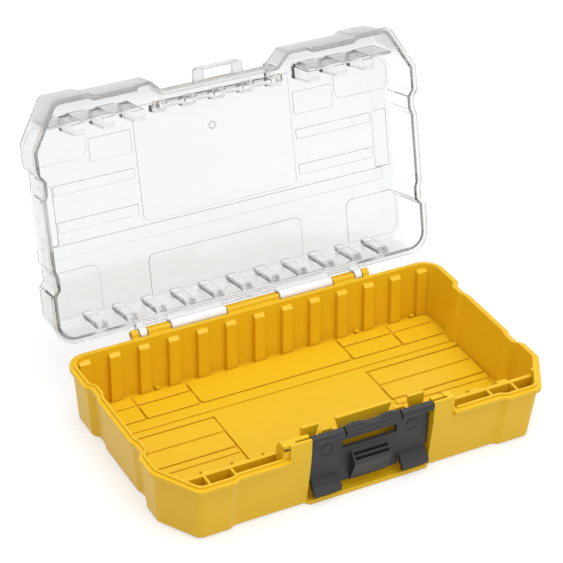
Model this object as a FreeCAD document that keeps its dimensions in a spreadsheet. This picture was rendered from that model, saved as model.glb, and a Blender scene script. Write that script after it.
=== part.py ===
import FreeCAD, Part
import math
import os
import Sketcher

# Bit case: moulded tray, clear lid and flip latch.
# Millimetres, +Z up, origin at the middle of the underside.
# The lid and its sizes are drawn as if closed; its placement then opens it about the hinge line.

doc = FreeCAD.newDocument("bit_case")
sheet = doc.addObject("Spreadsheet::Sheet", "Sizes")
V = FreeCAD.Vector


class Dim:
    """A size with its number and the cell formula it comes from, so both follow the same arithmetic."""

    def __init__(self, value, text):
        self.value = value
        self.text = text

    def joined(self, other, sign, value):
        return Dim(value, "(" + self.text + " " + sign + " " + dim(other).text + ")")

    def __add__(self, other):
        return self.joined(other, "+", self.value + dim(other).value)

    def __sub__(self, other):
        return self.joined(other, "-", self.value - dim(other).value)

    def __mul__(self, other):
        return self.joined(other, "*", self.value * dim(other).value)

    def __radd__(self, other):
        return dim(other) + self

    def __rsub__(self, other):
        return dim(other) - self

    def __neg__(self):
        return Dim(-self.value, "(0 - " + self.text + ")")


def dim(number):
    """A plain number as a size; a size stays as it is."""
    if isinstance(number, Dim):
        return number
    return Dim(float(number), repr(float(number)))


ROWS = []


def size(name, value):
    """Write one named cell and return it as a size."""
    ROWS.append(name)
    row = len(ROWS)
    sheet.set("A%d" % row, name)
    sheet.set("B%d" % row, repr(float(value)))
    sheet.setAlias("B%d" % row, name)
    return Dim(float(value), "Sizes." + name)


# Plan of the rim: the outermost line of the flange, right half, front to back
half_width = size("half_width", 115.0)
half_depth = size("half_depth", 66.5)
panel_step = size("panel_step", 1.8)
panel_end = size("panel_end", 77.0)
block_start = size("block_start", 80.5)
chamfer_front = size("chamfer_front", 100.2)
chamfer_side = size("chamfer_side", 41.6)
slip_front = size("slip_front", 0.569)
slip_side = size("slip_side", 0.275)
notch_step = size("notch_step", 2.8)
mid_step = size("mid_step", 1.5)
notch_slope = size("notch_slope", 3.5)
front_notch_start = size("front_notch_start", -28.0)
front_notch_end = size("front_notch_end", -14.0)
back_notch_start = size("back_notch_start", 25.0)
back_notch_end = size("back_notch_end", 39.0)
corner_radius = size("corner_radius", 12.0)
chamfer_radius = size("chamfer_radius", 5.0)

# Tray
rim_top = size("rim_top", 34.0)
flange_height = size("flange_height", 2.2)
wall_inset = size("wall_inset", 1.7)
foot_inset = size("foot_inset", 4.6)
cavity_inset = size("cavity_inset", 3.7)
floor_inset = size("floor_inset", 6.2)
floor_top = size("floor_top", 2.2)
lip_outer = size("lip_outer", 2.3)
lip_height = size("lip_height", 1.1)
foot_bevel = size("foot_bevel", 1.4)
inner_wall_rear = size("inner_wall_rear", -49.8)
inner_wall_front = size("inner_wall_front", -52.0)
inner_wall_top = size("inner_wall_top", 31.4)
cavity_front_half = size("cavity_front_half", 105.6)
floor_front_half = size("floor_front_half", 102.8)
cell_start = size("cell_start", 50.5)
cell_rear_half = size("cell_rear_half", 104.3)
cell_rear_half_floor = size("cell_rear_half_floor", 101.4)
divider_thickness = size("divider_thickness", 1.4)
divider_outer = size("divider_outer", 90.6)
divider_inner = size("divider_inner", 75.7)
divider_top = size("divider_top", 31.2)
rib_pitch = size("rib_pitch", 17.41)
rib_width = size("rib_width", 6.3)
relief = size("relief", 0.5)

# Latch bay of the tray
bay_half = size("bay_half", 35.85)
bay_floor = size("bay_floor", 3.0)
ledge_half = size("ledge_half", 37.6)
ledge_front = size("ledge_front", -61.8)
tower_half = size("tower_half", 48.0)
tower_front = size("tower_front", -62.9)
tower_rear = size("tower_rear", -57.2)
tower_top = size("tower_top", 42.8)
boss_half = size("boss_half", 51.6)

# Latch
pivot_y = size("pivot_y", -60.6)
pivot_z = size("pivot_z", 40.0)
latch_pin_radius = size("latch_pin_radius", 1.1)
pin_slack = size("pin_slack", 0.06)
barrel_radius = size("barrel_radius", 2.6)
barrel_half = size("barrel_half", 35.4)
barrel_middle = size("barrel_middle", 16.0)
barrel_gap = size("barrel_gap", 0.9)
plate_front = size("plate_front", -59.2)
plate_rear = size("plate_rear", -57.1)
plate_half = size("plate_half", 34.9)
plate_bottom = size("plate_bottom", 7.4)
window_half = size("window_half", 16.0)
window_low = size("window_low", 28.6)
window_high = size("window_high", 33.4)
block_half = size("block_half", 10.95)
tab_inner = size("tab_inner", 18.0)
tab_outer = size("tab_outer", 33.8)

# Hinge
hinge_y = size("hinge_y", 70.0)
hinge_z = size("hinge_z", 34.3)
knuckle_radius = size("knuckle_radius", 2.5)
hinge_pin_radius = size("hinge_pin_radius", 1.0)
knuckle_centre = size("knuckle_centre", 16.0)
knuckle_short_in = size("knuckle_short_in", 50.4)
knuckle_short_out = size("knuckle_short_out", 64.0)
knuckle_ear_in = size("knuckle_ear_in", 69.4)
knuckle_ear_out = size("knuckle_ear_out", 73.4)
knuckle_gap = size("knuckle_gap", 0.4)
hinge_pin_start = size("hinge_pin_start", 5.0)
open_angle = size("open_angle", 105.0)

# Lid
lid_rim = size("lid_rim", 34.3)
lid_flange_top = size("lid_flange_top", 36.3)
lid_shoulder = size("lid_shoulder", 57.6)
lid_top = size("lid_top", 60.0)
lid_plate = size("lid_plate", 1.8)
lid_wall_inset = size("lid_wall_inset", 1.5)
lid_shoulder_inset = size("lid_shoulder_inset", 2.3)
lid_top_inset = size("lid_top_inset", 4.0)
lid_cavity_inset = size("lid_cavity_inset", 3.3)
lid_cavity_top_inset = size("lid_cavity_top_inset", 4.3)
lid_rabbet_inset = size("lid_rabbet_inset", 1.9)
lid_rabbet_top = size("lid_rabbet_top", 35.6)
recess_half = size("recess_half", 33.0)
recess_front = size("recess_front", -57.5)
bump_half = size("bump_half", 40.3)
recess_slip = size("recess_slip", 0.43)
shelf_top = size("shelf_top", 51.5)
shelf_rear = size("shelf_rear", -47.0)
lid_arch_half = size("lid_arch_half", 52.4)
lid_arch_top = size("lid_arch_top", 43.6)
loop_half = size("loop_half", 14.7)
loop_front = size("loop_front", -63.2)
loop_low = size("loop_low", 46.9)
loop_high = size("loop_high", 48.9)
loop_lip = size("loop_lip", 50.6)
slot_half = size("slot_half", 8.6)
slot_front = size("slot_front", -61.7)
slot_rear = size("slot_rear", -56.5)
doc.recompute()


def new_body(label):
    """An empty body with its label."""
    body = doc.addObject("PartDesign::Body", label)
    body.Label = label
    return body


def sketch_on(body, name, plane, offset):
    """An empty sketch on one of the body's own planes, moved along that plane's normal by a size."""
    sketch = body.newObject("Sketcher::SketchObject", name)
    face = [f for f in body.Origin.OriginFeatures if f.Role == plane][0]
    sketch.AttachmentSupport = [(face, "")]
    sketch.MapMode = "FlatFace"
    sketch.setExpression("AttachmentOffset.Base.z", dim(offset).text)
    return sketch


def corner_ends(before, corner, after, radius):
    """Both ends of the arc that rounds a corner, on the corner's two sides.

    Each lies the radius times the tangent of half the turn away from the corner.
    """
    here = V(corner[0].value, corner[1].value, 0)
    back = (V(before[0].value, before[1].value, 0) - here).normalize()
    on = (V(after[0].value, after[1].value, 0) - here).normalize()
    reach = math.tan((math.pi - back.getAngle(on)) / 2)
    start = (corner[0] + radius * (reach * back.x), corner[1] + radius * (reach * back.y))
    end = (corner[0] + radius * (reach * on.x), corner[1] + radius * (reach * on.y))
    return start, end


def add_polygon(sketch, points):
    """Closed outline, counter-clockwise; a corner with a third entry is rounded by an arc of that radius.

    Each corner or arc end is held by two distances from the sketch origin.
    """
    points = [tuple(dim(n) for n in point) for point in points]
    places = []
    radii = []
    for n, point in enumerate(points):
        if len(point) == 2:
            places.append(point)
            radii.append(None)
        else:
            start, end = corner_ends(points[n - 1], point, points[(n + 1) % len(points)], point[2])
            places.extend([start, end])
            radii.extend([point[2], None])
    first = sketch.GeometryCount
    count = len(places)
    pieces = []
    for n in range(count):
        a = V(places[n][0].value, places[n][1].value, 0)
        b = V(places[(n + 1) % count][0].value, places[(n + 1) % count][1].value, 0)
        if radii[n] is None:
            pieces.append(Part.LineSegment(a, b))
        else:
            chord = b - a
            rise = math.sqrt(radii[n].value ** 2 - chord.Length ** 2 / 4)
            centre = (a + b) / 2 + V(-chord.y, chord.x, 0).normalize() * rise
            circle = Part.Circle(centre, V(0, 0, 1), radii[n].value)
            angles = [math.atan2((p - centre).y, (p - centre).x) for p in (a, b)]
            pieces.append(Part.ArcOfCircle(circle, angles[0], angles[1]))
    sketch.addGeometry(pieces, False)
    for n in range(count):
        sketch.addConstraint(Sketcher.Constraint("Coincident", first + n, 2, first + (n + 1) % count, 1))
    for n in range(count):
        for kind, place in (("DistanceX", places[n][0]), ("DistanceY", places[n][1])):
            at = sketch.addConstraint(Sketcher.Constraint(kind, -1, 1, first + n, 1, place.value))
            sketch.setExpression("Constraints[%d]" % at, place.text)
        if radii[n] is not None:
            at = sketch.addConstraint(Sketcher.Constraint("Radius", first + n, radii[n].value))
            sketch.setExpression("Constraints[%d]" % at, radii[n].text)


def add_circle(sketch, a, b, radius):
    """Circle with its centre held by two distances and its radius bound."""
    a, b, radius = dim(a), dim(b), dim(radius)
    ring = sketch.addGeometry(Part.Circle(V(a.value, b.value, 0), V(0, 0, 1), radius.value), False)
    at = sketch.addConstraint(Sketcher.Constraint("Radius", ring, radius.value))
    sketch.setExpression("Constraints[%d]" % at, radius.text)
    for kind, place in (("DistanceX", a), ("DistanceY", b)):
        at = sketch.addConstraint(Sketcher.Constraint(kind, -1, 1, ring, 3, place.value))
        sketch.setExpression("Constraints[%d]" % at, place.text)


def raise_pad(body, name, sketch, length):
    """Add material from a sketch.

    Faces in one plane are merged by the last feature of each body only, to keep the build short.
    """
    pad = body.newObject("PartDesign::Pad", name)
    pad.Profile = sketch
    pad.setExpression("Length", dim(length).text)
    pad.Refine = False
    sketch.Visibility = False
    return pad


def sink_pocket(body, name, sketch, length):
    """Take material away from a sketch downwards along its normal."""
    pocket = body.newObject("PartDesign::Pocket", name)
    pocket.Profile = sketch
    pocket.setExpression("Length", dim(length).text)
    pocket.Refine = False
    sketch.Visibility = False
    return pocket


def rectangle(x0, x1, y0, y1):
    """Corners of an upright rectangle, counter-clockwise."""
    return [(x0, y0), (x1, y0), (x1, y1), (x0, y1)]


def pad_z(body, name, loops, low, high):
    """Plan outlines raised from one height to another."""
    sketch = sketch_on(body, name + "_plan", "XY_Plane", low)
    for loop in loops:
        add_polygon(sketch, loop)
    return raise_pad(body, name, sketch, dim(high) - low)


def cut_z(body, name, loops, low, high):
    """Plan outlines cut from the upper height down to the lower one."""
    sketch = sketch_on(body, name + "_plan", "XY_Plane", high)
    for loop in loops:
        add_polygon(sketch, loop)
    return sink_pocket(body, name, sketch, dim(high) - low)


def pad_x(body, name, loops, start, end):
    """Side outlines (y, z) drawn out along X."""
    sketch = sketch_on(body, name + "_side", "YZ_Plane", start)
    for loop in loops:
        add_polygon(sketch, loop)
    return raise_pad(body, name, sketch, dim(end) - start)


def cut_x(body, name, loops, start, end):
    """Side outlines (y, z) cut along X between two places."""
    sketch = sketch_on(body, name + "_side", "YZ_Plane", end)
    for loop in loops:
        add_polygon(sketch, loop)
    return sink_pocket(body, name, sketch, dim(end) - start)


def rod_x(body, name, y, z, radius, start, end):
    """A round rod along X."""
    sketch = sketch_on(body, name + "_round", "YZ_Plane", start)
    add_circle(sketch, y, z, radius)
    return raise_pad(body, name, sketch, dim(end) - start)


def bore_x(body, name, y, z, radius, start, end):
    """A round bore along X."""
    sketch = sketch_on(body, name + "_round", "YZ_Plane", end)
    add_circle(sketch, y, z, radius)
    return sink_pocket(body, name, sketch, dim(end) - start)


def loft(body, name, kind, stages):
    """Ruled loft through plan outlines at several heights; kind is Additive or Subtractive."""
    sketches = []
    for n, (height, loop) in enumerate(stages):
        sketch = sketch_on(body, "%s_plan_%d" % (name, n), "XY_Plane", height)
        add_polygon(sketch, loop)
        sketch.Visibility = False
        sketches.append(sketch)
    feature = body.newObject("PartDesign::%sLoft" % kind, name)
    feature.Profile = sketches[0]
    feature.Sections = sketches[1:]
    feature.Ruled = True
    feature.Refine = False
    return feature


def repeat_x(body, name, feature, count, pitch):
    """Repeat a feature along +X at a fixed pitch."""
    pattern = body.newObject("PartDesign::LinearPattern", name)
    pattern.Originals = [feature]
    axis = [f for f in body.Origin.OriginFeatures if f.Role == "X_Axis"][0]
    pattern.Direction = (axis, [""])
    pattern.Occurrences = count
    pattern.Refine = False
    pattern.setExpression("Length", (dim(pitch) * (count - 1)).text)
    body.Tip = pattern
    return pattern


def mirrored(points):
    """The same loop on the other side of the middle plane."""
    return [(-dim(p[0]),) + tuple(p[1:]) for p in reversed(points)]


def whole(right):
    """A full outline from its right half, front middle to back middle."""
    return right + mirrored(right)


def side_points(inset):
    """Right side of the plan at a given inset.

    From the front: corner block, notch, middle, notch, back block and back corner.
    """
    edge = half_width - inset
    notch = edge - notch_step
    middle = edge - mid_step
    return [
        (edge, slip_side * inset - chamfer_side, chamfer_radius),
        (edge, front_notch_start),
        (notch, front_notch_start + notch_slope),
        (notch, front_notch_end - notch_slope),
        (middle, front_notch_end),
        (middle, back_notch_start),
        (notch, back_notch_start + notch_slope),
        (notch, back_notch_end - notch_slope),
        (edge, back_notch_end),
        (edge, half_depth - inset, corner_radius - inset),
    ]


def front_points(inset):
    """Right end of the front: panel, step, corner block and the start of the chamfer."""
    block = inset - half_depth
    return [
        (panel_end, block + panel_step),
        (block_start, block),
        (chamfer_front - slip_front * inset, block, chamfer_radius),
    ]


def tray_plan(inset):
    """The tray's plan, drawn in from the outermost line by an inset."""
    return whole(front_points(inset) + side_points(inset))


def lid_plan(inset):
    """The lid's plan: as the tray's, with a recess for the latch in the middle of the front."""
    slip = recess_slip * inset
    recess = [
        (recess_half + slip, recess_front + inset),
        (bump_half + slip, inset - half_depth + panel_step),
    ]
    return whole(recess + front_points(inset) + side_points(inset))


def cavity_plan(inset, front_half):
    """Inside of the tray behind the inner front wall."""
    return whole([(front_half, inner_wall_rear)] + side_points(inset))


def cell_plan(inset, rear_half):
    """Inside of the right front cells, between the front wall and the inner wall."""
    front = [(cell_start, inset - half_depth + panel_step)] + front_points(inset)
    return front + [(rear_half, inner_wall_front), (cell_start, inner_wall_front)]


# Tray: shell with a bevelled foot, flange and the lip inside it
tray = new_body("base_tray")
flange_bottom = rim_top - flange_height
lip_top = rim_top + lip_height
loft(tray, "shell", "Additive", [
    (0, tray_plan(foot_inset + foot_bevel)),
    (foot_bevel, tray_plan(foot_inset)),
    (flange_bottom, tray_plan(wall_inset))])
pad_z(tray, "flange", [tray_plan(dim(0))], flange_bottom, rim_top)
pad_z(tray, "lip", [tray_plan(lip_outer)], rim_top, lip_top)

# Tray: main hollow and front cells
loft(tray, "hollow", "Subtractive", [
    (floor_top, cavity_plan(floor_inset, floor_front_half)),
    (lip_top, cavity_plan(cavity_inset, cavity_front_half))])
cell_floor = cell_plan(floor_inset, cell_rear_half_floor)
cell_top = cell_plan(cavity_inset, cell_rear_half)
loft(tray, "cells_right", "Subtractive", [(floor_top, cell_floor), (lip_top, cell_top)])
loft(tray, "cells_left", "Subtractive", [(floor_top, mirrored(cell_floor)), (lip_top, mirrored(cell_top))])
for side, start, end in (("right", 48.5, 103.9), ("left", -103.9, -48.5)):
    cut_z(tray, "inner_wall_top_" + side, [rectangle(start, end, -52.6, -49.2)], inner_wall_top, lip_top)

# Tray: latch bay, towers and the raised parts of the bay's back wall
cut_z(tray, "bay", [rectangle(-bay_half, bay_half, -70, inner_wall_front)], bay_floor, lip_top)
cut_z(tray, "bay_lip", [rectangle(-cell_start, cell_start, -70, -45)], rim_top, lip_top)
pad_z(tray, "ledge", [whole([(ledge_half - 3, ledge_front), (ledge_half, ledge_front + 3),
                             (ledge_half, -54)])], 0.5, bay_floor)
for side, inner, outer in (("right", bay_half, tower_half), ("left", -tower_half, -bay_half)):
    tower = rectangle(inner, outer, tower_front, tower_rear)
    core = rectangle(inner + 2, outer - 2, tower_rear + 1.2, inner_wall_front)
    pad_z(tray, "tower_" + side, [tower], flange_bottom - 1, tower_top)
    cut_z(tray, "tower_core_" + side, [core], floor_top, rim_top)
cut_z(tray, "tower_face", [rectangle(-tower_half, tower_half, -70, tower_front)], flange_bottom, lip_top)
wall_top = tower_top - 0.2
raised = [(28.4, 33), (bay_half, 33), (bay_half, wall_top), (26.2, wall_top)]
saddle = [(17.4, 33), (25.4, 33), (25.4, 35.8), (23.6, 37.4), (19.2, 37.4), (17.4, 35.8)]
sketch = sketch_on(tray, "bay_wall_face", "XZ_Plane", -inner_wall_rear)
for loop in (whole([(13.5, 33), (16.4, wall_top)]), raised, mirrored(raised), saddle, mirrored(saddle)):
    add_polygon(sketch, loop)
raise_pad(tray, "bay_wall", sketch, inner_wall_rear - inner_wall_front)
wall_bite = inner_wall_front + 0.1
tower_bite = tower_rear - 0.2
gusset = [(tower_bite, 20), (wall_bite, 20), (wall_bite, 33), (tower_bite, 42.2)]
pad_x(tray, "gusset_left", [gusset], -41.0, -39.6)
pad_x(tray, "gusset_right", [gusset], 39.6, 41.0)
pad_x(tray, "boss_left", [[(-61.6, 24), (-54.4, 24), (-54.4, 39), (-56.4, 42.4), (-58.6, tower_top),
                            (-61.6, tower_top)]], -boss_half, -tower_half)
rod_x(tray, "boss_right", pivot_y + 2.6, pivot_z + 0.4, 3.2, tower_half - 5, tower_half - 1.2)
for side, inner, outer in (("right", bay_half, tower_half - 3.6), ("left", 3.6 - tower_half, -bay_half)):
    slit = rectangle(inner, outer, pivot_y - 0.7, pivot_y + 0.9)
    cut_z(tray, "pin_slit_" + side, [slit], pivot_z, tower_top)
bore_x(tray, "pin_entry", pivot_y, pivot_z, 1.5, -boss_half - 1, 2.0 - boss_half)
bore_x(tray, "latch_pin_bore", pivot_y, pivot_z, latch_pin_radius + 0.02, -boss_half - 1, tower_half - 2.4)

# Tray: dividers in the front cells
floor_bite = floor_top - 0.1
panel_divider = [(wall_bite, floor_bite), (-59.2, floor_bite),
                 (-61.6, divider_top), (wall_bite, divider_top)]
block_divider = [(wall_bite, floor_bite), (-61.0, floor_bite),
                 (-63.4, divider_top), (wall_bite, divider_top)]
half = divider_thickness * 0.5
for name, middle, outline in (("inner_right", divider_inner, panel_divider),
                              ("outer_right", divider_outer, block_divider),
                              ("inner_left", -divider_inner, panel_divider),
                              ("outer_left", -divider_outer, block_divider)):
    pad_x(tray, "divider_" + name, [outline], middle - half, middle + half)

# Tray: ribs on the back wall and on the inner front wall
first = -(rib_pitch * 6) - rib_width * 0.5
back_side = [(60.8, floor_bite), (63.4, 32.2), (61.8, 32.2), (59.6, 30.9), (57.6, floor_bite)]
back_rib = pad_x(tray, "back_rib", [back_side], first, first + rib_width)
repeat_x(tray, "back_ribs", back_rib, 13, rib_pitch)
first = -(rib_pitch * 5) - rib_width * 0.5
front_side = [(-50.4, floor_bite), (-44.9, floor_bite), (-46.2, 30.2), (-48.4, 31.2), (-50.4, 31.2)]
front_rib = pad_x(tray, "front_rib", [front_side], first, first + rib_width)
repeat_x(tray, "front_ribs", front_rib, 11, rib_pitch)

# Tray: low relief of the floor
right_panels = [
    [(46, 10.5), (48, 8.5), (107.4, 8.5), (107.4, 21.8), (48, 21.8), (46, 19.8)],
    [(47, -10.5), (48.5, -12), (106.2, -12), (106.2, -6), (48.5, -6), (47, -7.5)],
    [(46.6, 43.5), (48.1, 42), (77, 42), (77, 49), (48.1, 49), (46.6, 47.5)],
    [(78.5, 50.5), (80, 49), (108, 49), (108, 57), (80, 57), (78.5, 55.5)],
]
panels = [rectangle(-107.4, 107.4, 27, 35)] + right_panels + [mirrored(p) for p in right_panels]
pad_z(tray, "floor_relief", panels, floor_bite, floor_top + relief)

# Tray: hinge knuckles with their webs, groove and pin bores
web = [(64.2, 26.5), (66.4, 27.6), (72.0, 33.0), (70, 34.3), (64.2, 33.9)]
rod_x(tray, "knuckles", hinge_y, hinge_z, knuckle_radius, -knuckle_ear_out, knuckle_ear_out)
pad_x(tray, "webs", [web], -knuckle_ear_out, knuckle_ear_out)
long_gap = rectangle(knuckle_centre, knuckle_short_in, hinge_y - 3.5, hinge_y + 4)
thin_gap = rectangle(knuckle_short_out, knuckle_ear_in, hinge_y - 3.5, hinge_y + 4)
gaps = [long_gap, thin_gap, mirrored(long_gap), mirrored(thin_gap)]
cut_z(tray, "knuckle_gaps", gaps, 20, hinge_z + 5)
groove = rectangle(68.9, 71.1, hinge_z + 1.5, hinge_z + 4)
cut_x(tray, "knuckle_groove", [groove], -knuckle_short_out, knuckle_short_out)
bore_x(tray, "hinge_bore_right", hinge_y, hinge_z, hinge_pin_radius + 0.02, hinge_pin_start - 0.5, 75)
last = bore_x(tray, "hinge_bore_left", hinge_y, hinge_z, hinge_pin_radius + 0.02, -75, 0.5 - hinge_pin_start)
last.Refine = True
doc.recompute()

# Lid: flange, wall, rounded top edge and hollow, drawn closed
lid = new_body("clear_lid")
pad_z(lid, "rim", [lid_plan(dim(0))], lid_rim, lid_flange_top)
room_top = lid_top - lid_plate
top_bite = room_top + 0.5
loft(lid, "wall", "Additive", [(lid_flange_top, lid_plan(lid_wall_inset)),
                               (lid_shoulder, lid_plan(lid_shoulder_inset)),
                               (lid_top, lid_plan(lid_top_inset))])
loft(lid, "room", "Subtractive", [(lid_rim, lid_plan(lid_cavity_inset)),
                                  (room_top, lid_plan(lid_cavity_top_inset))])
cut_z(lid, "rabbet", [tray_plan(lid_rabbet_inset)], lid_rim, lid_rabbet_top)

# Lid: recess for the latch with its shelf, and the arch over the towers
pad_z(lid, "shelf_block", [rectangle(-35, 35, -55.0, shelf_rear + 1.7)], shelf_top - 1.8, top_bite)
cut_z(lid, "shelf_room", [rectangle(-recess_half, recess_half, -70, shelf_rear)], shelf_top, lid_top + 1)
cut_z(lid, "arch", [rectangle(-lid_arch_half, lid_arch_half, -70, -53)], lid_rim, lid_arch_top)

# Lid: inner front wall, ribs and catch loop
for side, start, end in (("right", 50.4, 102.5), ("left", -102.5, -50.4)):
    pad_z(lid, "inner_wall_" + side, [rectangle(start, end, -51.6, -50.2)], 39.0, top_bite)
rib_side = [(-50.6, 37.0), (-46.2, 37.0), (-44.2, 38.4), (-43.4, top_bite), (-50.6, top_bite)]
for side, start in (("right", rib_pitch * 3), ("left", -(rib_pitch * 5))):
    first = start - rib_width * 0.5
    rib = pad_x(lid, "front_rib_" + side, [rib_side], first, first + rib_width)
    repeat_x(lid, "front_ribs_" + side, rib, 3, rib_pitch)
first = -(rib_pitch * 2) - rib_width * 0.5
rib_side = [(-49.8, 47.0), (-46.4, 47.0), (-43.2, 50.0), (-42.6, top_bite), (-46.0, top_bite),
            (-46.0, 50.4), (-49.8, 50.4)]
rib = pad_x(lid, "shelf_rib", [rib_side], first, first + rib_width)
repeat_x(lid, "shelf_ribs", rib, 5, rib_pitch)
first = -(rib_pitch * 5) - rib_width * 0.5
rib_side = [(63.4, 37.6), (61.4, 37.6), (59.8, 39.6), (59.2, top_bite), (63.4, top_bite)]
rib = pad_x(lid, "back_rib_lid", [rib_side], first, first + rib_width)
repeat_x(lid, "back_ribs_lid", rib, 11, rib_pitch)
loop_plan = [(-loop_half, loop_front, 2.4), (loop_half, loop_front, 2.4),
             (loop_half, -55), (-loop_half, -55)]
pad_z(lid, "loop", [loop_plan], loop_low, loop_high)
lip_half = loop_half - 2.6
lip_plan = rectangle(-lip_half, lip_half, loop_front, loop_front + 1.1)
pad_z(lid, "loop_lip", [lip_plan], loop_high - 0.1, loop_lip)
cut_z(lid, "loop_slot", [rectangle(-slot_half, slot_half, slot_front, slot_rear)], loop_low, loop_high)

# Lid: low relief of the top with a pad at each corner, and a shallow hand recess on each side
label = [(-47.3, -46.4), (47.3, -46.4), (47.3, 18, 4), (-47.3, 18, 4)]
back_panel = [(-47.4, 37.2, 4), (47.4, 37.2, 4), (47.4, 60.5), (-47.4, 60.5)]
band = rectangle(-102, 102, 20, 27)
right_panels = [
    [(75.7, -46), (104, -46), (109.5, -38), (109.5, -28.2), (107, -25.5), (75.7, -25.5, 5)],
    [(77, 34.8, 5), (106.8, 34.8), (109.5, 38.6), (109.5, 60.5, 7), (77, 60.5)],
    rectangle(49.6, 74, -34.8, -22),
    rectangle(49.6, 97, -13.2, -7.8),
    rectangle(49.6, 97, 7.2, 13),
]
panels = [label, back_panel, band] + right_panels + [mirrored(p) for p in right_panels]
pad_z(lid, "top_relief", panels, lid_top - 0.1, lid_top + relief)
hand = [(98, -14, 1.5), (107.2, -14), (107.2, 19.4), (98, 19.4, 1.5)]
cut_z(lid, "hand_recess", [hand, mirrored(hand)], lid_top - 0.8, lid_top + 1)

# Lid: hinge knuckles with their arms and bores
arm = [(64.4, 35.8), (67.6, 34.8), (70, 34.3), (71.8, 36.1), (66.6, 40.2), (64.4, 40.2)]
lid_reach = knuckle_ear_in - knuckle_gap
rod_x(lid, "lid_knuckles", hinge_y, hinge_z, knuckle_radius, -lid_reach, lid_reach)
pad_x(lid, "arms", [arm], -lid_reach, lid_reach)
gap_front = half_depth + 0.3
gap_rear = hinge_y + 4
centre_reach = knuckle_centre + knuckle_gap
short_start = knuckle_short_in - knuckle_gap
short_end = knuckle_short_out + knuckle_gap
inner_gap = rectangle(-centre_reach, centre_reach, gap_front, gap_rear)
short_gap = rectangle(short_start, short_end, gap_front, gap_rear)
cut_z(lid, "lid_knuckle_gaps", [inner_gap, short_gap, mirrored(short_gap)], 30, hinge_z + 8)
last = bore_x(lid, "hinge_bore", hinge_y, hinge_z, hinge_pin_radius + pin_slack, -80, 80)
last.Refine = True
doc.recompute()

# Latch, drawn hanging
latch = new_body("latch")
plate_top = pivot_z - 0.4
plate_middle = whole([(tab_inner, plate_bottom), (tab_inner, 15.0),
                      (plate_half, 15.0), (plate_half, plate_top)])
sketch = sketch_on(latch, "plate_face", "XZ_Plane", -plate_rear)
add_polygon(sketch, plate_middle)
add_polygon(sketch, rectangle(-window_half, window_half, window_low, window_high))
raise_pad(latch, "plate", sketch, plate_rear - plate_front)
tab = [(plate_rear, 15.2), (plate_front, 15.2), (plate_front, 13.8), (-61.5, 12.6),
       (-62.1, 10.7), (-64.5, 9.4), (-64.5, 6.3), (-62.4, 5.9), (-62.4, 7.9),
       (-60.2, 9.2), (-59.5, 11.2), (plate_rear, 12.5)]
pad_x(latch, "tab_right", [tab], tab_inner, tab_outer)
pad_x(latch, "tab_left", [tab], -tab_outer, -tab_inner)
block = [(-58.6, 25.7), (plate_front, 25.7), (-64.4, 20.6), (-64.4, 19.0),
         (-60.0, plate_bottom), (-58.6, plate_bottom)]
pad_x(latch, "block", [block], -block_half, block_half)
cut_z(latch, "block_core", [rectangle(1 - block_half, block_half - 1, -63.3, -62.1),
                            rectangle(1 - block_half, block_half - 1, -61.4, -60.2)], 17.8, 26.0)
for name, start, end in (("middle", -barrel_middle, barrel_middle),
                         ("right", barrel_middle + barrel_gap, barrel_half),
                         ("left", -barrel_half, -barrel_gap - barrel_middle)):
    rod_x(latch, "barrel_" + name, pivot_y, pivot_z, barrel_radius, start, end)
cut_z(latch, "barrel_joint", [rectangle(barrel_middle, barrel_middle + barrel_gap, -66, -54),
                              rectangle(-barrel_gap - barrel_middle, -barrel_middle, -66, -54)],
      pivot_z - 3.4, pivot_z + 5)
sketch = sketch_on(latch, "lip_face", "XZ_Plane", 59.4)
lip_right = [(3.0, 42.3), (7.0, 43.5), (11.0, 43.8), (15.0, 43.0),
             (barrel_middle, 41.8), (barrel_middle, 40.0)]
add_polygon(sketch, whole(lip_right))
raise_pad(latch, "finger_lip", sketch, 2.4)
for side, sign in (("right", 1), ("left", -1)):
    sketch = sketch_on(latch, "mould_ring_" + side, "XZ_Plane", -plate_front)
    add_circle(sketch, dim(25.0) * sign, 30.6, 3.6)
    add_circle(sketch, dim(25.0) * sign, 30.6, 3.1)
    sink_pocket(latch, "mould_ring_cut_" + side, sketch, 0.3)
last = bore_x(latch, "latch_bore", pivot_y, pivot_z, latch_pin_radius + pin_slack, -40, 40)
last.Refine = True
doc.recompute()


def pin(label, radius, y, z, start, end):
    """A plain steel pin along X."""
    rod = doc.addObject("Part::Cylinder", label)
    rod.Label = label
    rod.setExpression("Radius", radius.text)
    start = dim(start)
    rod.setExpression("Height", (dim(end) - start).text)
    along_x = FreeCAD.Rotation(V(0, 1, 0), 90)
    rod.Placement = FreeCAD.Placement(V(start.value, y.value, z.value), along_x)
    rod.setExpression("Placement.Base.x", start.text)
    rod.setExpression("Placement.Base.y", y.text)
    rod.setExpression("Placement.Base.z", z.text)
    return rod


latch_pin = pin("latch_pin", latch_pin_radius, pivot_y, pivot_z, 2.2 - boss_half, tower_half - 2.6)
pin_end = knuckle_ear_out - 0.6
hinge_pin_right = pin("hinge_pin_right", hinge_pin_radius, hinge_y, hinge_z, hinge_pin_start, pin_end)
hinge_pin_left = pin("hinge_pin_left", hinge_pin_radius, hinge_y, hinge_z, -pin_end, -hinge_pin_start)

# Open the lid about the hinge line
hinge_line = V(0, hinge_y.value, hinge_z.value)
lid.Placement = FreeCAD.Placement(V(0, 0, 0), FreeCAD.Rotation(V(1, 0, 0), -open_angle.value), hinge_line)
doc.recompute()

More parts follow.
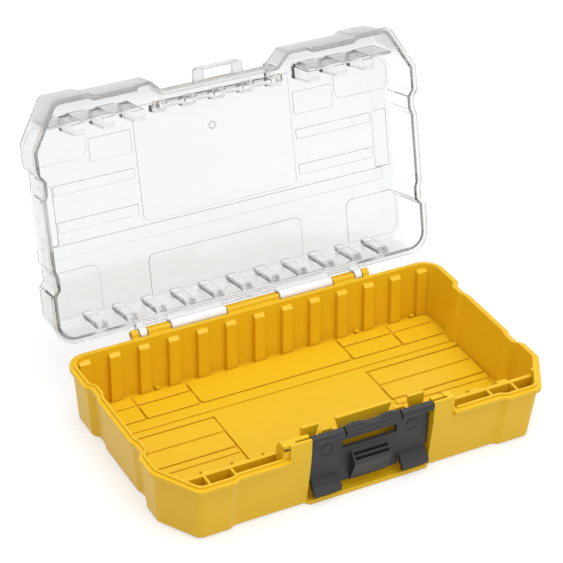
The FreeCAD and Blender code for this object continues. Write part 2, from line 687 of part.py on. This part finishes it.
parts = [tray, lid, latch, latch_pin, hinge_pin_left, hinge_pin_right]
for item in doc.Objects:
    if "Invalid" in item.State or "Error" in item.State:
        raise RuntimeError("not built: " + item.Name + " " + str(item.State))
os.makedirs("parts", exist_ok=True)
for item in parts:
    if item.Shape.isNull() or not item.Shape.isValid() or len(item.Shape.Solids) != 1:
        raise RuntimeError("bad shape: " + item.Label + " solids " + str(len(item.Shape.Solids)))
    item.Shape.exportStep("parts/" + item.Label + ".step")
    box = item.Shape.BoundBox
    print(item.Label, "volume", round(item.Shape.Volume), "faces", len(item.Shape.Faces),
          "box", [round(n, 2) for n in (box.XMin, box.XMax, box.YMin, box.YMax, box.ZMin, box.ZMax)])
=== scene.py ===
# %% [markdown]
# # An open bit case
# This lesson dresses a bit case that was built as solids: a yellow moulded tray, a clear lid that stands
# open, and a dark grey latch that hangs in a bay at the front. The solids already have the right shape,
# so the lesson is about plastics: how a satin opaque moulding, a clear moulding and a grained dark one
# differ, and how a few small moulding marks make them believable.

# %% Load the solids
import math

import bpy
import numpy as np
from mathutils import Matrix, Vector


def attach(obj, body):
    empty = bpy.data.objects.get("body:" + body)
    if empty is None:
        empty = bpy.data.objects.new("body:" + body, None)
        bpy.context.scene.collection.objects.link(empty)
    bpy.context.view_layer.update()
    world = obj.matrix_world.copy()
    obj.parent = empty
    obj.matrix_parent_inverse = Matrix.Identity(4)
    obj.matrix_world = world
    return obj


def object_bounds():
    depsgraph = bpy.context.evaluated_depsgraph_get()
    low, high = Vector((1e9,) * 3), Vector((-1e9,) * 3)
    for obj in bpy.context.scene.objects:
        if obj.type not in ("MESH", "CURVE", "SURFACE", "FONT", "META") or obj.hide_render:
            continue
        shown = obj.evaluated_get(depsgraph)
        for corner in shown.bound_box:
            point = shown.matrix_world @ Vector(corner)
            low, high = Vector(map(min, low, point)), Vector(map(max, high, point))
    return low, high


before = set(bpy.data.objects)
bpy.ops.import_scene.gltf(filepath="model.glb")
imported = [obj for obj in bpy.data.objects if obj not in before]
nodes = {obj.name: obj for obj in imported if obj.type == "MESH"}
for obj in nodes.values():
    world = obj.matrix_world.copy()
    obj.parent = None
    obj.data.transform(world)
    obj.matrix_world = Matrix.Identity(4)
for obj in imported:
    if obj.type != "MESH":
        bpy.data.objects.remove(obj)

cad_box = [list(map(float, corner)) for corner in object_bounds()]
print("loaded", sorted(nodes), "box", cad_box)

# %% [markdown]
# A material is a small graph of nodes. It could be wired by hand in the shader editor, but then nobody could
# read later how it was made. Each helper below adds one kind of node and joins its sockets, so that a
# material reads as a list of what feeds what. A source is a pair: a node and the name of its output.

# %% Helpers: nodes and links
def add_node(tree, kind, **values):
    """One shader node; keys are socket names with _ for blanks, or properties of the node."""
    made = tree.nodes.new(kind)
    for key, value in values.items():
        if hasattr(made, key):
            setattr(made, key, value)
        else:
            made.inputs[key.replace("_", " ")].default_value = value
    return made


def link(tree, source, source_socket, target, target_socket):
    """Join two sockets by name or place."""
    tree.links.new(source.outputs[source_socket], target.inputs[target_socket])


def math_node(tree, operation, *inputs):
    """A Math node; each input is a number or a source."""
    made = add_node(tree, "ShaderNodeMath", operation=operation)
    for socket, given in enumerate(inputs):
        if isinstance(given, tuple):
            link(tree, *given, made, socket)
        else:
            made.inputs[socket].default_value = given
    return made


def ramp(tree, source, start, end, at_start=0.0, at_end=1.0):
    """A Map Range node: at_start below start, at_end above end, and a straight line between them."""
    made = add_node(tree, "ShaderNodeMapRange", From_Min=start, From_Max=end, To_Min=at_start, To_Max=at_end)
    link(tree, *source, made, "Value")
    return made


print("node helpers ready")

# %% [markdown]
# Colours are easiest to judge as the screen shows them, from 0 to 255, but the renderer works with linear
# light. So each colour is written as the screen value and turned into linear light in one place.

# %% Helpers: colours and materials
# The places of a Mix node's factor and two colours among its inputs, and of its colour among its outputs.
MIX_FACTOR, MIX_FIRST, MIX_SECOND, MIX_COLOUR = 0, 6, 7, 2


def srgb(red, green, blue):
    """Screen colour 0 to 255 as linear light: c/12.92 below 0.04045, else ((c + 0.055) / 1.055) ** 2.4."""
    screen = np.array([red, green, blue]) / 255.0
    linear = np.where(screen <= 0.04045, screen / 12.92, ((screen + 0.055) / 1.055) ** 2.4)
    return tuple(float(c) for c in linear) + (1.0,)


def mixed_colour(tree, mask, first, second):
    """A Mix node from a first colour to a second by a mask; the first may be another Mix node."""
    made = add_node(tree, "ShaderNodeMix", data_type="RGBA")
    link(tree, mask, "Result", made, MIX_FACTOR)
    if isinstance(first, tuple):
        made.inputs[MIX_FIRST].default_value = first
    else:
        link(tree, first, MIX_COLOUR, made, MIX_FIRST)
    made.inputs[MIX_SECOND].default_value = second
    return made


def new_material(name, **values):
    """A material with one Principled shader, returned with its tree and that shader."""
    material = bpy.data.materials.new(name)
    material.use_nodes = True
    tree = material.node_tree
    shader = tree.nodes["Principled BSDF"]
    for key, value in values.items():
        shader.inputs[key.replace("_", " ")].default_value = value
    return material, tree, shader


print("srgb mid grey", srgb(128, 128, 128))

# %% [markdown]
# Every moulded plastic copies the skin of its steel mould. Close up, that skin is a fine spark-eroded
# grain, with slow changes of shine where the melt cooled unevenly, and faint scuffs from handling. It could
# be painted into a picture, but noise in the object's own space needs no unwrapping and is sharp at any
# distance. The effect is the same on the tray and the latch, only its scale and strength differ, so it is a
# node group that is built once.

# %% Node group: moulding skin
SKIN_INPUTS = {"Grain Scale": 900.0, "Roughness": 0.35, "Cloud": 0.08, "Scuff": 0.05, "Shade Range": 0.08}


def new_group(name, inputs, outputs):
    """A node group with float sockets, returned with its input and output nodes."""
    group = bpy.data.node_groups.new(name, "ShaderNodeTree")
    for key, value in inputs.items():
        socket = group.interface.new_socket(key, in_out="INPUT", socket_type="NodeSocketFloat")
        socket.default_value = value
    for key in outputs:
        group.interface.new_socket(key, in_out="OUTPUT", socket_type="NodeSocketFloat")
    return group, group.nodes.new("NodeGroupInput"), group.nodes.new("NodeGroupOutput")


def make_moulding_skin():
    """Grain height, roughness and colour change of a moulded skin, from Object coordinates.

    Height is a fine noise. Roughness is a base value plus slow cloudiness and stretched scuffs. Shade is a
    slow factor near 1 that multiplies the colour.
    """
    group, given, result = new_group("moulding_skin", SKIN_INPUTS, ("Height", "Roughness", "Shade"))
    place = add_node(group, "ShaderNodeTexCoord")
    grain = add_node(group, "ShaderNodeTexNoise", Detail=3.0, Roughness=0.6)
    link(group, place, "Object", grain, "Vector")
    link(group, given, "Grain Scale", grain, "Scale")
    cloud = add_node(group, "ShaderNodeTexNoise", Scale=28.0, Detail=4.0)
    link(group, place, "Object", cloud, "Vector")
    stretch = add_node(group, "ShaderNodeMapping", Rotation=(0.3, 0.2, 0.9), Scale=(40.0, 700.0, 300.0))
    link(group, place, "Object", stretch, "Vector")
    scuff = add_node(group, "ShaderNodeTexNoise", Scale=1.0, Detail=2.0)
    link(group, stretch, "Vector", scuff, "Vector")
    scuff_mask = ramp(group, (scuff, "Fac"), 0.62, 0.74)
    cloudy = math_node(group, "MULTIPLY_ADD", (cloud, "Fac"), (given, "Cloud"), (given, "Roughness"))
    scuffed = math_node(group, "MULTIPLY_ADD", (scuff_mask, "Result"), (given, "Scuff"), (cloudy, "Value"))
    centred = math_node(group, "SUBTRACT", (cloud, "Fac"), 0.5)
    shade = math_node(group, "MULTIPLY_ADD", (centred, "Value"), (given, "Shade Range"), 1.0)
    link(group, grain, "Fac", result, "Height")
    link(group, scuffed, "Value", result, "Roughness")
    link(group, shade, "Value", result, "Shade")
    return group


moulding_skin = make_moulding_skin()
print("group", moulding_skin.name, "nodes", len(moulding_skin.nodes))

# %% [markdown]
# A skinned plastic joins the group to a Principled shader: the shade multiplies the pigment, the
# roughness goes straight in, and the height goes through a Bump node, because grain this fine would
# need millions of triangles as real geometry. No moulded edge is perfectly sharp, and the thin bright
# line along an edge is what makes plastic look moulded. A Bevel node gives it: near an edge it turns the
# shading normal as if the edge had a small radius, and the solid itself stays as it was built.

# %% Opaque moulded plastics
def rounded_bump(tree, shader, height, strength, depth, edge):
    """The solid's normal with its edges rounded by a radius, tilted by a height, goes to the shader."""
    bump = add_node(tree, "ShaderNodeBump", Strength=strength, Distance=depth)
    link(tree, *height, bump, "Height")
    rounded = add_node(tree, "ShaderNodeBevel", samples=6, Radius=edge)
    link(tree, rounded, "Normal", bump, "Normal")
    link(tree, bump, "Normal", shader, "Normal")


def skinned_plastic(name, colour, edge, grain_depth, skin, **values):
    """Principled plastic whose colour, roughness and normal follow the moulding skin."""
    material, tree, shader = new_material(name, **values)
    surface = add_node(tree, "ShaderNodeGroup", node_tree=moulding_skin)
    for key, value in skin.items():
        surface.inputs[key].default_value = value
    pigment = add_node(tree, "ShaderNodeMix", data_type="RGBA", blend_type="MULTIPLY")
    pigment.inputs[MIX_FACTOR].default_value = 1.0
    pigment.inputs[MIX_FIRST].default_value = colour
    link(tree, surface, "Shade", pigment, MIX_SECOND)
    link(tree, pigment, MIX_COLOUR, shader, "Base Color")
    link(tree, surface, "Roughness", shader, "Roughness")
    rounded_bump(tree, shader, (surface, "Height"), strength=0.5, depth=grain_depth, edge=edge)
    return material


yellow_skin = {"Grain Scale": 1400.0, "Roughness": 0.34, "Cloud": 0.06, "Scuff": 0.05, "Shade Range": 0.06}
dark_skin = {"Grain Scale": 1100.0, "Roughness": 0.46, "Cloud": 0.06, "Scuff": 0.1, "Shade Range": 0.2}
yellow = skinned_plastic("yellow_moulding", srgb(228, 183, 24), edge=0.00045, grain_depth=0.00006,
                         skin=yellow_skin, IOR=1.5, Specular_IOR_Level=0.36, Subsurface_Weight=0.06,
                         Subsurface_Scale=0.004)
dark = skinned_plastic("dark_moulding", srgb(40, 40, 41), edge=0.0004, grain_depth=0.0001, skin=dark_skin,
                       IOR=1.5)
print("opaque plastics", yellow.name, dark.name)

# %% [markdown]
# A mould's steep walls drag along the plastic as it comes out, so the lid's walls are duller than its
# polished top. The two front boxes beside the catch are duller still, and the ribbed wall at the hinge is
# only a little. These places could get materials of their own, face by face, but masks from the surface's
# direction and from its distance to the hinge blend softly. Both are measured along the lid's own axes,
# which are turned with it to where it stands open.

# %% Masks of the lid
MM = 0.001
OPEN = math.radians(-105.0)
LID_UPRIGHT = (0.0, -math.sin(OPEN), math.cos(OPEN))
LID_BACKWARDS = (0.0, math.cos(OPEN), math.sin(OPEN))
HINGE_Y, HINGE_Z = 70.0, 34.3
WALL_COSINES = (0.35, 0.8)
FRONT_FROM_HINGE = (124.5, 119.5)
BACK_FROM_HINGE = (12.5, 10.5)
BACK_SHARE = 0.35


def along(tree, source, axis):
    """How far a source vector goes along an axis: their dot product."""
    made = add_node(tree, "ShaderNodeVectorMath", operation="DOT_PRODUCT")
    link(tree, *source, made, 0)
    made.inputs[1].default_value = axis
    return made


def lid_masks(tree, place):
    """Masks of the lid's walls, front boxes and back wall.

    A wall is where the cosine between the surface normal and the lid's upright axis is small. Front and
    back go by the distance from the hinge along the lid's depth: the front lies beyond the inner front
    wall, and the back lies nearer than the tips of the ribs and counts only in part.
    """
    steep = math_node(tree, "ABSOLUTE", (along(tree, (place, "Normal"), LID_UPRIGHT), "Value"))
    wall = ramp(tree, (steep, "Value"), *WALL_COSINES, 1.0, 0.0)
    depth = along(tree, (place, "Object"), LID_BACKWARDS)
    hinge = (HINGE_Y * LID_BACKWARDS[1] + HINGE_Z * LID_BACKWARDS[2]) * MM
    front_ends = [hinge - reach * MM for reach in FRONT_FROM_HINGE]
    front = ramp(tree, (depth, "Value"), *front_ends, 1.0, 0.0)
    back_ends = [hinge - reach * MM for reach in BACK_FROM_HINGE]
    back = ramp(tree, (depth, "Value"), *back_ends, 0.0, BACK_SHARE)
    return wall, front, back


print("lid axes", LID_UPRIGHT, LID_BACKWARDS)

# %% [markdown]
# The lid is a clear moulding about two millimetres thick. Real clear lids are never perfect: the mould
# leaves slow ripples that bend what is seen through them, and handling leaves faint hazy patches. A plain
# glass shader would look like cut crystal, so the ripples are a weak bump and the haze is a change of
# roughness.

# %% Clear plastic
CLEAR_IOR = 1.46
WALL_DULLNESS = 0.08
END_DULLNESS = 0.22


def make_clear_plastic():
    """Transmissive plastic: ripples in its normal, haze in its roughness, and duller walls and ends."""
    material, tree, shader = new_material("clear_moulding", IOR=CLEAR_IOR, Transmission_Weight=1.0)
    place = add_node(tree, "ShaderNodeTexCoord")
    wall, front, back = lid_masks(tree, place)
    # The tint holds painted shade: grey on the lid's top, a little darker over the front boxes, near white
    # on the walls.
    top_painted_shade = mixed_colour(tree, front, srgb(236, 237, 237), srgb(228, 229, 229))
    tint_with_painted_shade = mixed_colour(tree, wall, top_painted_shade, srgb(254, 254, 254))
    link(tree, tint_with_painted_shade, MIX_COLOUR, shader, "Base Color")
    haze = add_node(tree, "ShaderNodeTexNoise", Scale=45.0, Detail=5.0)
    link(tree, place, "Object", haze, "Vector")
    rough = ramp(tree, (haze, "Fac"), 0.35, 0.75, 0.03, 0.12)
    dull = math_node(tree, "MULTIPLY_ADD", (wall, "Result"), WALL_DULLNESS, (rough, "Result"))
    ends = math_node(tree, "MAXIMUM", (front, "Result"), (back, "Result"))
    duller = math_node(tree, "MULTIPLY_ADD", (ends, "Value"), END_DULLNESS, (dull, "Value"))
    link(tree, duller, "Value", shader, "Roughness")
    ripple = add_node(tree, "ShaderNodeTexNoise", Scale=60.0, Detail=1.0)
    link(tree, place, "Object", ripple, "Vector")
    rounded_bump(tree, shader, (ripple, "Fac"), strength=0.12, depth=0.0004, edge=0.0006)
    return material


clear = make_clear_plastic()
print("clear plastic", clear.name)

# %% [markdown]
# Two finishes have streaks along X. The pins are drawn steel wire, and drawing leaves fine lines along the
# length. Around the pins the lid's plastic is thick, light scatters in it and it looks white, with flow
# lines along the roll. Scratched textures would do, but a noise whose coordinates are squeezed across X
# gives both, so it is a node group with the squeeze and the range of roughness as its inputs.

# %% Node group: streaks, and the finishes that use it
STREAK_INPUTS = {"Along": 60.0, "Across": 900.0, "Detail": 3.0, "Smoothest": 0.12, "Roughest": 0.3}


def make_streaks():
    """Roughness from noise at (along x, across y, across z), spread from the smoothest to the roughest."""
    group, given, result = new_group("streaks", STREAK_INPUTS, ("Roughness",))
    place = add_node(group, "ShaderNodeTexCoord")
    squeeze = add_node(group, "ShaderNodeCombineXYZ")
    for key, axis in (("Along", "X"), ("Across", "Y"), ("Across", "Z")):
        link(group, given, key, squeeze, axis)
    stretch = add_node(group, "ShaderNodeMapping")
    link(group, place, "Object", stretch, "Vector")
    link(group, squeeze, "Vector", stretch, "Scale")
    lines = add_node(group, "ShaderNodeTexNoise", Scale=1.0)
    link(group, stretch, "Vector", lines, "Vector")
    link(group, given, "Detail", lines, "Detail")
    rough = ramp(group, (lines, "Fac"), 0.0, 1.0)
    link(group, given, "Smoothest", rough, "To Min")
    link(group, given, "Roughest", rough, "To Max")
    link(group, rough, "Result", result, "Roughness")
    return group


def streaked(name, streak, **values):
    """Principled finish of one colour whose roughness follows the streaks."""
    material, tree, shader = new_material(name, **values)
    surface = add_node(tree, "ShaderNodeGroup", node_tree=streaks)
    for key, value in streak.items():
        surface.inputs[key].default_value = value
    link(tree, surface, "Roughness", shader, "Roughness")
    return material


streaks = make_streaks()
wire_lines = {"Along": 20.0, "Across": 3000.0, "Detail": 2.0, "Smoothest": 0.22, "Roughest": 0.45}
milky = streaked("milky_moulding", STREAK_INPUTS, Base_Color=srgb(251, 251, 253), IOR=CLEAR_IOR,
                 Transmission_Weight=0.12)
steel = streaked("drawn_steel", wire_lines, Base_Color=srgb(92, 92, 95), Metallic=1.0)
print("streaked finishes", milky.name, steel.name)

# %% [markdown]
# Each solid takes its material in its first slot. Nothing else on it is changed, because its shape is right.

# %% Dress the solids
def dress(name, material):
    """Give a solid its material."""
    nodes[name].data.materials.clear()
    nodes[name].data.materials.append(material)


dress("base_tray", yellow)
dress("clear_lid", clear)
dress("latch", dark)
for name in ("latch_pin", "hinge_pin_left", "hinge_pin_right"):
    dress(name, steel)
print("dressed", len(nodes), "solids")

# %% [markdown]
# The small forms of the mouldings come next. Each could be modelled by hand from a primitive, but a formula
# is exact and easy to change. So each is a surface worked out as an array: rows of points that run round
# the form, one row above the other. A helper joins several such forms into one mesh, with quads between the
# rows and a flat cap on the first and the last row.

# %% Helper: stacked rings to a mesh
def add_rings(name, forms, body, material, ring=False):
    """One mesh from several closed forms, each an array (rows, points round, 3) in millimetres.

    Point j of row i is joined to point j + 1 of the same row and to the same points of row i + 1.
    A ring joins its last row to its first instead of having caps.
    """
    corners = []
    faces = []
    smooth = []
    start = 0
    for form in forms:
        rows, around = form.shape[:2]
        index = start + np.arange(rows * around).reshape(rows, around)
        on = np.roll(index, -1, axis=1)
        steps = np.arange(rows if ring else rows - 1)
        above = (steps + 1) % rows
        quads = np.stack([index[steps], on[steps], on[above], index[above]], axis=-1).reshape(-1, 4)
        caps = [] if ring else [index[0][::-1].tolist(), index[-1].tolist()]
        corners.append(form.reshape(-1, 3) * MM)
        faces.extend(quads.tolist() + caps)
        smooth.extend([True] * len(quads) + [False] * len(caps))
        start += rows * around
    mesh = bpy.data.meshes.new(name)
    mesh.from_pydata(np.concatenate(corners).tolist(), [], faces)
    mesh.polygons.foreach_set("use_smooth", smooth)
    mesh.materials.append(material)
    piece = bpy.data.objects.new(name, mesh)
    bpy.context.collection.objects.link(piece)
    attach(piece, body)
    print(name, "forms", len(forms), "faces", len(faces))


print("ring helper ready, one unit is", MM, "m")

# %% [markdown]
# The floor of the tray is stiffened by broad low pads with narrow grooves between them, and the grooves are
# what shows as lines across the floor. Dark lines in the material would look the same from one side only,
# so the pads are real. The middle panel lies a hair lower than the bar behind it, so that the two overlap
# without a line. A pad is a rounded rectangle: going round by an angle t, the corner circle's centre jumps
# from corner to corner with the signs of cos t and sin t, and the straight sides lie between the last point
# of one corner and the first of the next.

# %% Pads on the tray floor
FLOOR_TOP = 2.2
PAD_TOP = 3.7
SINK = 0.2
PAD_CORNER = 1.2
MIDDLE_END = 46.8
SIDE_START = 47.8
BACK_END, SIDE_END, FRONT_END = 106.0, 106.6, 104.0
HAIR = 0.02


def raised_pad(x0, x1, y0, y1, corner=PAD_CORNER, top=PAD_TOP):
    """Rounded rectangle x = cx + (hx - r) sgn(cos t) + r cos t, the same for y with sin t, in four rows.

    The rows are the foot, the upper end of the side, the middle of its rounded edge and the top face.
    """
    t = (np.arange(32) + 0.5) * 2 * np.pi / 32
    radius = corner - np.array([0.0, 0.0, 0.1, 0.3])[:, None]
    z = np.array([FLOOR_TOP - SINK, top - 0.3, top - 0.1, top])[:, None]
    x = (x0 + x1) / 2 + ((x1 - x0) / 2 - corner) * np.sign(np.cos(t)) + radius * np.cos(t)
    y = (y0 + y1) / 2 + ((y1 - y0) / 2 - corner) * np.sign(np.sin(t)) + radius * np.sin(t)
    return np.stack([x, y, np.broadcast_to(z, x.shape)], axis=2)


side_pads = [(x0, x1, y0, y1) for y0, y1 in ((49.6, 57.0), (36.8, 48.4))
             for x0, x1 in ((SIDE_START, 79.0), (80.2, BACK_END))]
side_pads += [(SIDE_START, SIDE_END, y0, y1) for y0, y1 in ((9.2, 21.6), (-5.0, 8.0), (-10.6, -6.2))]
side_pads += [(SIDE_START, FRONT_END, -43.5, -11.8)]
pads = [(-MIDDLE_END, MIDDLE_END, 36.8, 57.0, 3.0),
        (-BACK_END, BACK_END, 28.2, 35.6),
        (-BACK_END, BACK_END, 22.8, 27.0),
        (-MIDDLE_END, MIDDLE_END, -43.5, 23.6, PAD_CORNER, PAD_TOP - HAIR)]
pads += side_pads + [(-x1, -x0, y0, y1) for x0, x1, y0, y1 in side_pads]
add_rings("floor_pads", [raised_pad(*pad) for pad in pads], "base", yellow)

# %% [markdown]
# Ejector pins push the moulding out of the mould and leave small round pips along the foot of the walls.
# They could be bumps in the material, but they stand up enough to throw a shadow. A pip is a profile turned
# about its axis.

# %% Ejector pips
PIP_RADIUS, PIP_HEIGHT = 1.5, 2.2


def pip(x, y):
    """A low button: rings of radius p at height q, from the foot to the flat top."""
    t = np.arange(24) * 2 * np.pi / 24
    p = PIP_RADIUS * np.array([1.0, 1.0, 0.9, 0.7])[:, None]
    q = FLOOR_TOP - SINK + (PIP_HEIGHT + SINK) * np.array([0.0, 0.7, 0.95, 1.0])[:, None]
    return np.stack([x + p * np.cos(t), y + p * np.sin(t), np.broadcast_to(q, (len(q), len(t)))], axis=2)


pip_places = [(62.5, 59.4), (-62.5, 59.4), (98.7, 59.2), (-98.7, 59.2), (106.0, 24.6), (-106.0, 24.6)]
add_rings("ejector_pips", [pip(x, y) for x, y in pip_places], "base", yellow)

# %% [markdown]
# Where the melt entered the mould, a small ring is left near the front of the lid's top. It is a tube bent
# to a circle, drawn on the closed lid and then turned open about the hinge line, as the solid was.

# %% Gate mark of the lid
def opened(points):
    """Turn closed-lid points about the hinge line: y and z by the open angle, x as it is."""
    y = points[..., 1] - HINGE_Y
    z = points[..., 2] - HINGE_Z
    return np.stack([points[..., 0], HINGE_Y + y * np.cos(OPEN) - z * np.sin(OPEN),
                     HINGE_Z + y * np.sin(OPEN) + z * np.cos(OPEN)], axis=-1)


def gate_ring(x, y, z, radius, tube, flatness):
    """A flattened torus on the lid's inner face: rows go round the tube's section from its lowest point.

    A row lies radius + tube sin s from the middle, and flatness times tube cos s below it.
    """
    t = np.arange(40) * 2 * np.pi / 40
    s = (np.arange(10) * 2 * np.pi / 10)[:, None]
    out = radius + tube * np.sin(s)
    level = np.broadcast_to(z - tube * np.cos(s) * flatness, (len(s), len(t)))
    return np.stack([x + out * np.cos(t), y + out * np.sin(t), level], axis=2)


gate = opened(gate_ring(x=-1.4, y=-27.3, z=58.2, radius=1.9, tube=0.45, flatness=0.6))
add_rings("gate_mark", [gate], "lid", clear, ring=True)

# %% [markdown]
# Around the pins the lid thickens to rolls, and there the plastic is no longer clear but milky. One clear
# material over the whole lid can't show that, so each roll is a cylinder of its own over the knuckle.

# %% Hinge rolls of the lid
ROLL_RADIUS = 2.95
ROLL_SPANS = [(16.6, 49.8), (64.6, 68.8), (-49.8, -16.6), (-68.8, -64.6)]
ROUND, HALFWAY = 0.45, 0.13


def hinge_roll(x0, x1):
    """A cylinder about the hinge line with rounded ends: rings of radius p at place x."""
    t = np.arange(40) * 2 * np.pi / 40
    p = ROLL_RADIUS - np.array([ROUND, HALFWAY, 0.0, 0.0, HALFWAY, ROUND])[:, None]
    x = np.array([x0, x0 + HALFWAY, x0 + ROUND, x1 - ROUND, x1 - HALFWAY, x1])[:, None]
    place = np.broadcast_to(x, (len(x), len(t)))
    return np.stack([place, HINGE_Y + p * np.cos(t), HINGE_Z + p * np.sin(t)], axis=2)


rolls = [hinge_roll(x0, x1) for x0, x1 in ROLL_SPANS]
add_rings("lid_hinge_rolls", rolls, "lid", milky)

# %% [markdown]
# The stage is a wide pale floor. To come out white it could be lit harder, but then the case would be too
# bright as well. So the floor glows a little, most of all for rays that show it as a background: from the
# camera, through the clear lid or in a gloss. The shadow of the case stays on it.

# %% Floor
FLOOR_HALF = 6.0
FLOOR_DROP = 0.0002


def seen_directly(tree, otherwise, directly):
    """A value for rays that show the background: from the camera, through clear plastic or in a gloss."""
    paths = add_node(tree, "ShaderNodeLightPath")
    through = math_node(tree, "MAXIMUM", (paths, "Is Camera Ray"), (paths, "Is Transmission Ray"))
    shown = math_node(tree, "MAXIMUM", (through, "Value"), (paths, "Is Glossy Ray"))
    return ramp(tree, (shown, "Value"), 0.0, 1.0, otherwise, directly)


def make_floor():
    """A large square just under the case's underside."""
    corners = FLOOR_HALF * np.array([[-1.0, -1.0, 0.0], [1.0, -1.0, 0.0], [1.0, 1.0, 0.0], [-1.0, 1.0, 0.0]])
    corners[:, 2] = cad_box[0][2] - FLOOR_DROP
    mesh = bpy.data.meshes.new("floor")
    mesh.from_pydata(corners.tolist(), [], [(0, 1, 2, 3)])
    floor = bpy.data.objects.new("floor", mesh)
    bpy.context.collection.objects.link(floor)
    material, tree, shader = new_material("floor_paper", Base_Color=(0.5, 0.5, 0.5, 1.0), Roughness=0.9,
                                          Emission_Color=(1.0, 1.0, 1.0, 1.0))
    glow = seen_directly(tree, otherwise=0.12, directly=0.52)
    link(tree, glow, "Result", shader, "Emission Strength")
    mesh.materials.append(material)


make_floor()
print("floor", 2 * FLOOR_HALF, "metres wide")

# %% [markdown]
# Soft light comes from a large lamp above and a second one in front, a little to the right. Small lamps
# would draw hard shadows between the ribs, and large ones fill them, as in a small product studio.

# %% Lamps
CASE_MIDDLE = (0.0, 0.0, 0.05)


def add_area(name, place, width, power):
    """A square lamp that faces the middle of the case."""
    lamp = bpy.data.lights.new(name, "AREA")
    lamp.size = width
    lamp.energy = power
    holder = bpy.data.objects.new(name, lamp)
    aim = (Vector(CASE_MIDDLE) - Vector(place)).to_track_quat("-Z", "Y")
    holder.matrix_world = Matrix.Translation(place) @ aim.to_matrix().to_4x4()
    bpy.context.collection.objects.link(holder)
    print(name, power, "W")


add_area("top_softbox", (0.0, -0.2, 1.5), width=1.3, power=13.0)
add_area("front_softbox", (0.35, -1.3, 1.1), width=1.0, power=4.5)

# %% [markdown]
# The world lights the case evenly. Where it is seen, it is white behind the case and darker on the camera's
# side, as a room is. One white all round would be simpler, but clear plastic shows its edges only where they
# bend something dark into view. Light goes through many walls of the lid one after another, so it may
# bounce more often than usual.

# %% World and view
BOUNCES = 32


def make_world():
    """Even light for the case; seen directly, a brightness that rises with the direction's Y."""
    world = bpy.data.worlds.new("studio")
    world.use_nodes = True
    tree = world.node_tree
    sky = tree.nodes["Background"]
    sky.inputs["Color"].default_value = (1.0, 1.0, 1.0, 1.0)
    shown = seen_directly(tree, otherwise=0.74, directly=1.0)
    link(tree, shown, "Result", sky, "Strength")
    parts = add_node(tree, "ShaderNodeSeparateXYZ")
    link(tree, add_node(tree, "ShaderNodeTexCoord"), "Generated", parts, "Vector")
    room = ramp(tree, (parts, "Y"), -0.7, 0.1, at_start=0.42, at_end=1.0)
    link(tree, room, "Result", shown, "To Max")
    return world


bpy.context.scene.world = make_world()
bpy.context.scene.view_settings.view_transform = "Standard"
bpy.context.scene.cycles.max_bounces = BOUNCES
bpy.context.scene.cycles.transmission_bounces = BOUNCES
print("world", bpy.context.scene.world.name, "bounces", BOUNCES)

# %% [markdown]
# The camera stands where the photo was taken from. It could be moved by eye until the picture fits, but its
# place, direction and lens were found by matching known corners of the case, which is exact, and its small
# roll is part of the matrix.

# %% Camera
PHOTO_PIXELS = 563.0
FOCAL_PIXELS = 2182.4
SENSOR = 36.0

eye = Vector((-0.48024, -0.80553, 0.70306))
look = Vector((0.41393, 0.72696, -0.54790)).normalized()
right = look.cross(Vector((0.23567, 0.49579, 0.83586)).normalized()).normalized()
up = right.cross(look)
camera_data = bpy.data.cameras.new("photo_camera")
camera_data.sensor_width = SENSOR
camera_data.lens = FOCAL_PIXELS * SENSOR / PHOTO_PIXELS
camera = bpy.data.objects.new("photo_camera", camera_data)
turn = Matrix((right, up, -look)).transposed().to_4x4()
camera.matrix_world = Matrix.Translation(eye) @ turn
bpy.context.collection.objects.link(camera)
bpy.context.scene.camera = camera
print("camera lens", round(camera_data.lens, 2))
